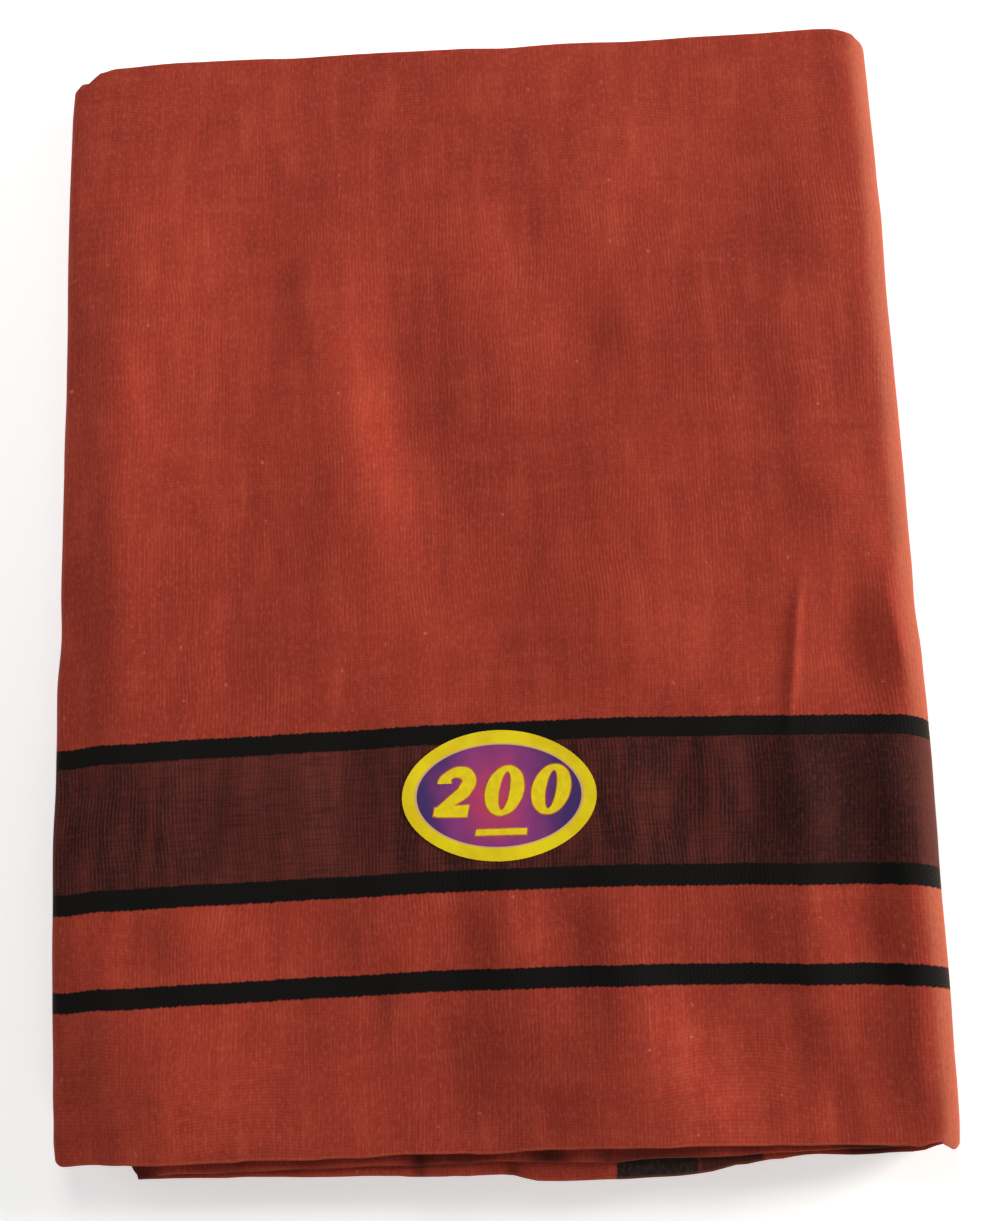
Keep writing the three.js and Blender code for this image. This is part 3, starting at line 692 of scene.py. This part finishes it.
def cloth_material(name, border=True, heading=False):
    k = Nodes(name)
    u, v, e = k.split(k.attr("cloth").outputs["Vector"])
    outer = k.attr("outer").outputs["Fac"]
    flat = k.join(u, v)
    # threads: long streaks along each way of the weave
    warp = k.noise(k.join(k.math("MULTIPLY", u, 2.4), k.math("MULTIPLY", v, 0.050)), 1.0, 1.0, 0.6)
    weft = k.noise(k.join(k.math("MULTIPLY", u, 0.085), k.math("MULTIPLY", v, 2.1)), 1.0, 1.0, 0.6)
    patch = k.noise(flat, 0.019, 0.0)
    tone = k.noise(flat, 0.011, 1.0, 0.55)
    # uneven bands of thread, a few millimetres wide
    broken = k.noise(k.join(k.math("MULTIPLY", u, 0.15), k.math("MULTIPLY", v, 0.040)), 1.0, 1.0, 0.6)
    cloudy = k.noise(k.join(k.math("MULTIPLY", u, 0.045), k.math("MULTIPLY", v, 0.17)), 1.0, 1.0, 0.6)
    # ribs stand across the border, about a millimetre apart, and show in patches
    wob = k.math("MULTIPLY_ADD", k.noise(k.join(k.math("MULTIPLY", u, 0.035), k.math("MULTIPLY", v, 0.045)), 1.0, 0.0), 3.0, u)
    rib = k.wave(wob, 1.10)
    rib_show = k.math("MULTIPLY", k.range(patch, 0.34, 0.58, 0.42, 0.90), k.range(warp, 0.25, 0.60, 0.35, 1.0))
    rib_show = k.math("MULTIPLY", rib_show, k.range(cloudy, 0.30, 0.62, 0.45, 1.0))
    ends = k.math("ADD", k.range(v, 52, 16), k.range(v, 262, 316))
    rib_show = k.math("MULTIPLY", rib_show, k.math("MULTIPLY_ADD", ends, -0.5, 1.0))
    cross = k.wave(k.math("MULTIPLY_ADD", patch, 9.0, v), 0.94)
    cross_show = k.math("MULTIPLY", k.range(patch, 0.54, 0.36, 0.15, 0.75), k.range(weft, 0.25, 0.60, 0.2, 1.0))
    cross_show = k.math("MULTIPLY_ADD", ends, 0.45, cross_show, clamp=True)
    # body colour
    col = k.mix(k.range(tone, 0.25, 0.75), BODY_DARK, BODY)
    col = k.mix(0.66, col, BODY)
    col = k.mix(k.math("MULTIPLY", k.range(warp, 0.42, 0.78), 0.26), col, BODY_LIGHT)
    col = k.mix(k.math("MULTIPLY", k.range(warp, 0.46, 0.22), 0.16), col, BODY_DARK)
    col = k.mix(k.math("MULTIPLY", k.range(weft, 0.46, 0.22), 0.16), col, BODY_DARK)
    col = k.mix(k.math("MULTIPLY", k.math("MULTIPLY", rib, rib_show), 0.42), col, BODY_DARK)
    col = k.mix(k.math("MULTIPLY", k.math("MULTIPLY", cross, cross_show), 0.34), col, BODY_DARK)
    col = k.mix(k.math("MULTIPLY", k.range(broken, 0.52, 0.78), 0.16), col, BODY_LIGHT)
    col = k.mix(k.math("MULTIPLY", k.range(broken, 0.48, 0.24), 0.20), col, BODY_DARK)
    col = k.mix(k.math("MULTIPLY", k.range(cloudy, 0.52, 0.78), 0.11), col, BODY_LIGHT)
    col = k.mix(k.math("MULTIPLY", k.range(cloudy, 0.48, 0.24), 0.16), col, BODY_DARK)
    # loose fibres on the face
    fuzz = k.noise(k.join(k.math("MULTIPLY_ADD", weft, 1.5, k.math("MULTIPLY", u, 1.05)), k.math("MULTIPLY_ADD", warp, 1.5, k.math("MULTIPLY", v, 0.66))), 1.0, 2.0, 0.65)
    col = k.mix(k.math("MULTIPLY", k.range(fuzz, 0.50, 0.74), 0.22), col, srgb(202, 104, 86))
    col = k.mix(k.math("MULTIPLY", k.range(fuzz, 0.46, 0.26), 0.22), col, BODY_DARK)
    # slubs and neps: sparse pale knots and short threads
    cell = k.voronoi(k.join(k.math("MULTIPLY_ADD", fuzz, 0.16, k.math("MULTIPLY", u, 0.085)), k.math("MULTIPLY_ADD", weft, 0.12, k.math("MULTIPLY", v, 0.060))), 1.0)
    pick = k.split(cell["Color"])
    nep = k.math("MULTIPLY", k.range(cell["Distance"], 0.042, 0.016), k.range(pick[0], 0.70, 0.98))
    col = k.mix(k.math("MULTIPLY", nep, 0.40), col, srgb(222, 138, 106))
    height = k.math("MULTIPLY", k.math("MULTIPLY", rib, rib_show), -0.8)
    height = k.math("ADD", height, k.math("MULTIPLY", warp, 0.6))
    height = k.math("ADD", height, k.math("MULTIPLY", weft, 0.5))
    if border:
        ragged = k.noise(k.join(k.math("MULTIPLY", u, 0.33), 3.0), 1.0, 2.0, 0.6)
        jag = k.math("MULTIPLY_ADD", k.math("SUBTRACT", k.wave(k.math("MULTIPLY_ADD", v, 0.6, wob), 1.75), 0.5), 0.16, v)
        jag = k.math("MULTIPLY_ADD", k.math("SUBTRACT", ragged, 0.5), 0.85, jag)
        w = 2.88
        s3, s2, s1 = 46.0, 73.0, 114.1
        dark = k.math("ADD", k.math("ADD", k.band(jag, s1 - w, s1 + w, 0.24), k.band(jag, s2 - w - 0.15, s2 + w + 0.15, 0.24)), k.band(jag, s3 - w, s3 + w, 0.24), clamp=True)
        maroon = k.band(jag, s2 + w, s1 - w, 0.2)
        dark, maroon = k.math("MULTIPLY", dark, outer), k.math("MULTIPLY", maroon, outer)
        mcol = k.mix(k.math("MULTIPLY", k.math("MULTIPLY", k.range(rib, 0.30, 0.95), k.range(warp, 0.24, 0.64, 0.12, 1.0)), 0.58), MAROON, MAROON_RIB)
        mcol = k.mix(k.math("MULTIPLY", k.range(broken, 0.42, 0.74), 0.34), mcol, MAROON_RIB)
        mcol = k.mix(k.math("MULTIPLY", k.range(broken, 0.46, 0.26), 0.4), mcol, srgb(36, 15, 13))
        # painted shade: the maroon band darker over the right end of the top panel; painted light: the band redder
        # left of the middle
        mcol = k.mix(k.math("MULTIPLY", k.band(u, TOP_U - 34.0, TOP_U + 10.0, 12.0), 0.58), mcol, srgb(36, 15, 13))
        mcol = k.mix(k.math("MULTIPLY", k.band(u, TOP_U + 120.0, TOP_U + 172.0, 14.0), 0.30), mcol, MAROON_RIB)
        mcol = k.mix(k.math("MULTIPLY", k.range(fuzz, 0.46, 0.70), 0.26), mcol, srgb(120, 52, 44))
        mcol = k.mix(k.math("MULTIPLY", k.range(weft, 0.55, 0.28), 0.4), mcol, srgb(34, 15, 13))
        col = k.mix(maroon, col, mcol)
        twill = k.wave(k.math("MULTIPLY_ADD", v, 1.3, wob), 1.75)
        col = k.mix(dark, col, k.mix(k.math("MULTIPLY", twill, 0.4), BLACK, srgb(20, 19, 18)))
        height = k.math("ADD", height, k.math("MULTIPLY", dark, k.math("MULTIPLY_ADD", twill, 0.9, 1.2)))
    if heading:
        # a black and a dark brown bar across the cloth's end, on one inner leaf
        near_end = k.range(v, 20, 24, 1, 0)
        hu = k.math("MULTIPLY_ADD", warp, 1.6, k.math("MULTIPLY_ADD", fuzz, 1.4, u))
        black = k.math("MULTIPLY", k.band(hu, HEAD[1] + 1.5, HEAD[2] + 1.5, 0.5), near_end)
        brown = k.math("MULTIPLY", k.band(hu, HEAD[0] + 1.5, HEAD[1] + 1.5, 0.8), near_end)
        col = k.mix(brown, col, k.mix(k.math("MULTIPLY", k.range(warp, 0.4, 0.7), 0.5), srgb(58, 26, 22), srgb(92, 44, 36)))
        col = k.mix(black, col, k.mix(k.math("MULTIPLY", k.range(fuzz, 0.42, 0.72), 0.6), srgb(32, 24, 22), srgb(72, 50, 45)))
        # painted shade on the inner leaves' near edges, under dips and in the fold's mouth, with the end border's
        # dark bars
        shade_and_bars = k.attr("shade_and_bars").outputs["Fac"]
        col = k.mix(k.math("MULTIPLY", shade_and_bars, 0.93), col, srgb(20, 8, 9))
    # selvedge: a thin line a little paler
    edge = k.range(e, 0.35, 0.95, 1, 0)
    col = k.mix(k.math("MULTIPLY", edge, 0.16), col, srgb(206, 108, 80))
    if border:
        # painted highlight: the round fold at the right is made paler along its upper half, where it catches the
        # light
        fold_highlight = k.math("MULTIPLY", k.band(u, FOLD_U + 12.5, FOLD_U + 20.2, 2.0), k.math("SUBTRACT", 1.0, dark, clamp=True))
        fold_highlight = k.math("MULTIPLY", fold_highlight, k.range(fuzz, 0.2, 0.7, 0.42, 0.72))
        col = k.mix(fold_highlight, col, k.mix(maroon, srgb(168, 91, 67), srgb(92, 44, 36)))
    k.put(k.p.inputs["Base Color"], col)
    k.p.inputs["Roughness"].default_value = 0.9
    k.p.inputs["Specular IOR Level"].default_value = 0.14
    k.p.inputs["Sheen Weight"].default_value = 0.15
    k.p.inputs["Sheen Roughness"].default_value = 0.38
    k.p.inputs["Sheen Tint"].default_value = srgb(255, 205, 165)
    bump = k.t.nodes.new("ShaderNodeBump")
    bump.inputs["Strength"].default_value = 0.6
    bump.inputs["Distance"].default_value = 0.00011
    k.link(height, bump.inputs["Height"])
    k.link(bump.outputs[0], k.p.inputs["Normal"])
    return k.mat


def u_at(stations, level, x, u0):
    """Length along a strip where its middle line passes x on a level."""
    st = np.array(stations, float)
    run = np.concatenate([[0], np.cumsum(np.hypot(np.diff(st[:, 0]), np.diff(st[:, 1])))]) + u0
    here = (st[:, 4] == level) & (st[:, 5] == level)
    order = np.argsort(st[here, 0])
    return float(np.interp(x, st[here, 0][order], run[here][order]))


# the leaf's path runs right to left, so the bars' ends are given from its right
HEAD = sorted([u_at(fold_path, 5, 72.0, 540.0), u_at(fold_path, 5, 54.4, 540.0), u_at(fold_path, 5, 32.0, 540.0)])
wrap.data.materials.append(cloth_material("cotton_border", border=True))
folds.data.materials.append(cloth_material("cotton_leaves", border=False, heading=True))


def label_material():
    k = Nodes("label_film")
    x, y, s = k.split(k.attr("oval").outputs["Vector"])
    rx, ry = 23.75, 14.55
    rho = k.math("SQRT", k.math("ADD", k.math("POWER", k.math("DIVIDE", x, rx), 2.0), k.math("POWER", k.math("DIVIDE", y, ry), 2.0)))
    mottled = k.noise(k.join(x, y), 0.11, 2.0, 0.5)
    # violet field, magenta towards its middle
    from_mid = k.math("SQRT", k.math("ADD", k.math("POWER", k.math("DIVIDE", k.math("ADD", x, 1.5), 15.5), 2.0), k.math("POWER", k.math("DIVIDE", k.math("ADD", y, 1.0), 19.0), 2.0)))
    from_mid = k.math("MULTIPLY_ADD", k.math("SUBTRACT", mottled, 0.5), 0.5, from_mid)
    col = k.mix(k.range(from_mid, 0.15, 0.80), srgb(192, 62, 100), srgb(140, 56, 122))
    col = k.mix(k.range(from_mid, 0.65, 1.35), col, srgb(66, 44, 104))
    yellow = k.mix(k.range(mottled, 0.3, 0.7), srgb(240, 220, 14), srgb(230, 202, 12))
    col = k.mix(k.band(rho, 0.985, 1.012, 0.006), col, srgb(224, 176, 130))
    col = k.mix(k.range(rho, 1.004, 1.018), col, yellow)
    k.put(k.p.inputs["Base Color"], col)
    k.p.inputs["Roughness"].default_value = 0.42
    k.p.inputs["Specular IOR Level"].default_value = 0.4
    bump = k.t.nodes.new("ShaderNodeBump")
    bump.inputs["Strength"].default_value = 0.2
    bump.inputs["Distance"].default_value = 0.00008
    k.link(k.noise(k.join(x, y), 1.2, 2.0, 0.5), bump.inputs["Height"])
    k.link(bump.outputs[0], k.p.inputs["Normal"])
    return k.mat


def rim_material():
    k = Nodes("label_rims")
    x, y, s = k.split(k.attr("oval").outputs["Vector"])
    m = k.noise(k.join(x, y), 0.4, 1.0, 0.5)
    k.put(k.p.inputs["Base Color"], k.mix(k.range(m, 0.3, 0.7), srgb(206, 116, 66), srgb(176, 86, 70)))
    k.p.inputs["Roughness"].default_value = 0.42
    k.p.inputs["Specular IOR Level"].default_value = 0.4
    return k.mat


def print_material():
    k = Nodes("label_print")
    x, y, s = k.split(k.attr("oval").outputs["Vector"])
    m = k.noise(k.join(x, y), 0.5, 2.0, 0.5)
    k.put(k.p.inputs["Base Color"], k.mix(k.range(m, 0.3, 0.7), srgb(240, 218, 18), srgb(232, 204, 14)))
    k.p.inputs["Roughness"].default_value = 0.42
    k.p.inputs["Specular IOR Level"].default_value = 0.4
    return k.mat


oval.data.materials.append(label_material())
print_ob.data.materials.append(print_material())
outline_ob.data.materials.append(rim_material())

# ---------------------------------------------------------------- ties to the frame
for piece in (wrap, folds, oval, print_ob, outline_ob):
    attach(piece, "root")
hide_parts("outer_wrap")
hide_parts("inner_strip", "inner_folds")
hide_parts("size_label")

# ---------------------------------------------------------------- floor, light and camera
bpy.ops.mesh.primitive_plane_add(size=6, location=(0, 0, 0))
floor = bpy.context.object
floor.name = "floor"
kf = Nodes("floor_pale")
kf.p.inputs["Base Color"].default_value = (0.90, 0.90, 0.895, 1)
kf.p.inputs["Roughness"].default_value = 0.9
kf.p.inputs["Specular IOR Level"].default_value = 0.1
kf.p.inputs["Emission Color"].default_value = (1, 1, 1, 1)
kf.p.inputs["Emission Strength"].default_value = 0.42
floor.data.materials.append(kf.mat)


def area(name, place, aim, size, power, color):
    d = bpy.data.lights.new(name, "AREA")
    d.shape, d.size, d.energy, d.color = "DISK", size, power, color
    o = bpy.data.objects.new(name, d)
    bpy.context.scene.collection.objects.link(o)
    o.location = place
    from mathutils import Vector
    o.rotation_mode = "QUATERNION"
    o.rotation_quaternion = (Vector(aim) - Vector(place)).to_track_quat("-Z", "Y")
    return o


area("key", (2.14, 0.745, 0.589), (0.02, 0, 0), 0.67, 64.0, (1.0, 0.95, 0.89))
area("far_soft", (-0.06, 0.40, 0.48), (0, 0.06, 0), 0.32, 1.4, (1.0, 0.98, 0.95))
area("near_fill", (0.25, -0.95, 0.42), (0, 0, 0), 0.6, 3.1, (1.0, 0.97, 0.94))
area("left_fill", (-1.0, 0.32, 0.36), (0, 0.02, 0), 0.6, 3.0, (0.96, 0.97, 1.0))
area("right_low", (1.15, 0.05, 0.17), (0.1, 0, 0), 0.32, 3.4, (1.0, 0.93, 0.84))

world = bpy.data.worlds.new("soft_room")
bpy.context.scene.world = world
world.use_nodes = True
world.node_tree.nodes["Background"].inputs[0].default_value = (0.97, 0.98, 1, 1)
world.node_tree.nodes["Background"].inputs[1].default_value = 0.13

cam_data = bpy.data.cameras.new("camera")
cam_data.sensor_width = 36.0
cam_data.lens = 34.94
cam_data.clip_start, cam_data.clip_end = 0.01, 20
cam = bpy.data.objects.new("camera", cam_data)
bpy.context.scene.collection.objects.link(cam)
cam.matrix_world = Matrix((
    (0.998442, 0.038862, 0.040040, 0.019661),
    (-0.032434, 0.988113, -0.150272, -0.065593 + 0.0022),
    (-0.045404, 0.148739, 0.987834, 0.354923),
    (0, 0, 0, 1)))
bpy.context.scene.camera = cam
bpy.context.scene.view_settings.view_transform = "Standard"
